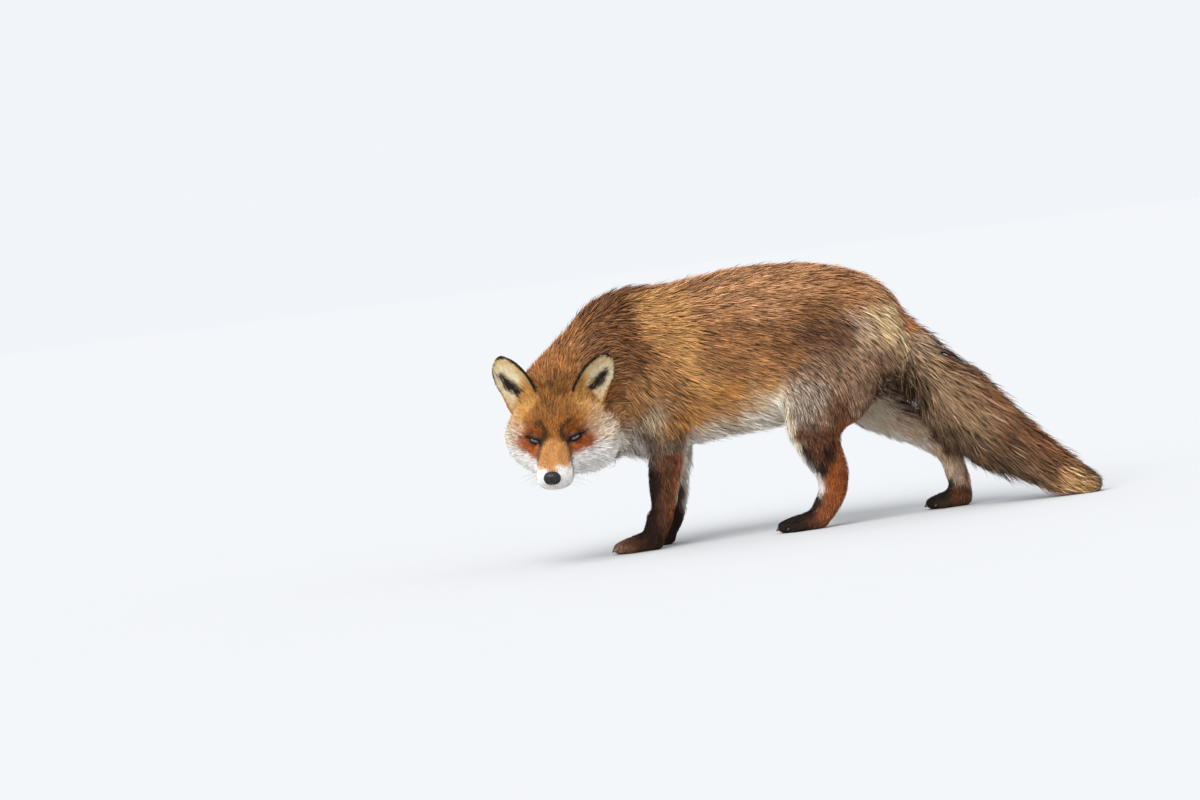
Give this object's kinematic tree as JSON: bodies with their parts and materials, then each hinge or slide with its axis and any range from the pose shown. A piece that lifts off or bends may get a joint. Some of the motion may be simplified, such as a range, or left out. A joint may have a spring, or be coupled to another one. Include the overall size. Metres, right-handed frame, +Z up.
{
  "type": "red fox",
  "caption": "Life-size red fox in its winter coat, standing in a low stalking step with the head lowered and turned to its left and the brush trailing to the floor.",
  "frame": {"origin": "middle of the footprint box, on the floor the paws stand on", "axes": "+X from the head end towards the tail, +Y to the fox's right, +Z up"},
  "size_m": [0.8252, 0.3056, 0.378],
  "materials": {
    "coat": "dense winter fur",
    "stocking": "short flat fur",
    "paw": "short flat fur",
    "hind_paw": "short flat fur",
    "shank": "short flat fur",
    "nose_leather": "moist, finely grained",
    "eye": "wet gloss",
    "ear": "short fur"
  },
  "bodies": {
    "root": {"head": "coat", "nose": "nose_leather", "eye_left": "eye", "eye_right": "eye", "ear_left": "ear", "ear_right": "ear", "neck": "coat", "trunk": "coat", "foreleg_left": "stocking", "foreleg_right": "stocking", "forepaw_left": "paw", "forepaw_right": "paw", "shank_left": "shank", "shank_right": "shank", "hindpaw_left": "hind_paw", "hindpaw_right": "hind_paw", "tail_root": "coat", "tail_brush": "coat", "tail_tip": "coat"}
  },
  "joints": []
}
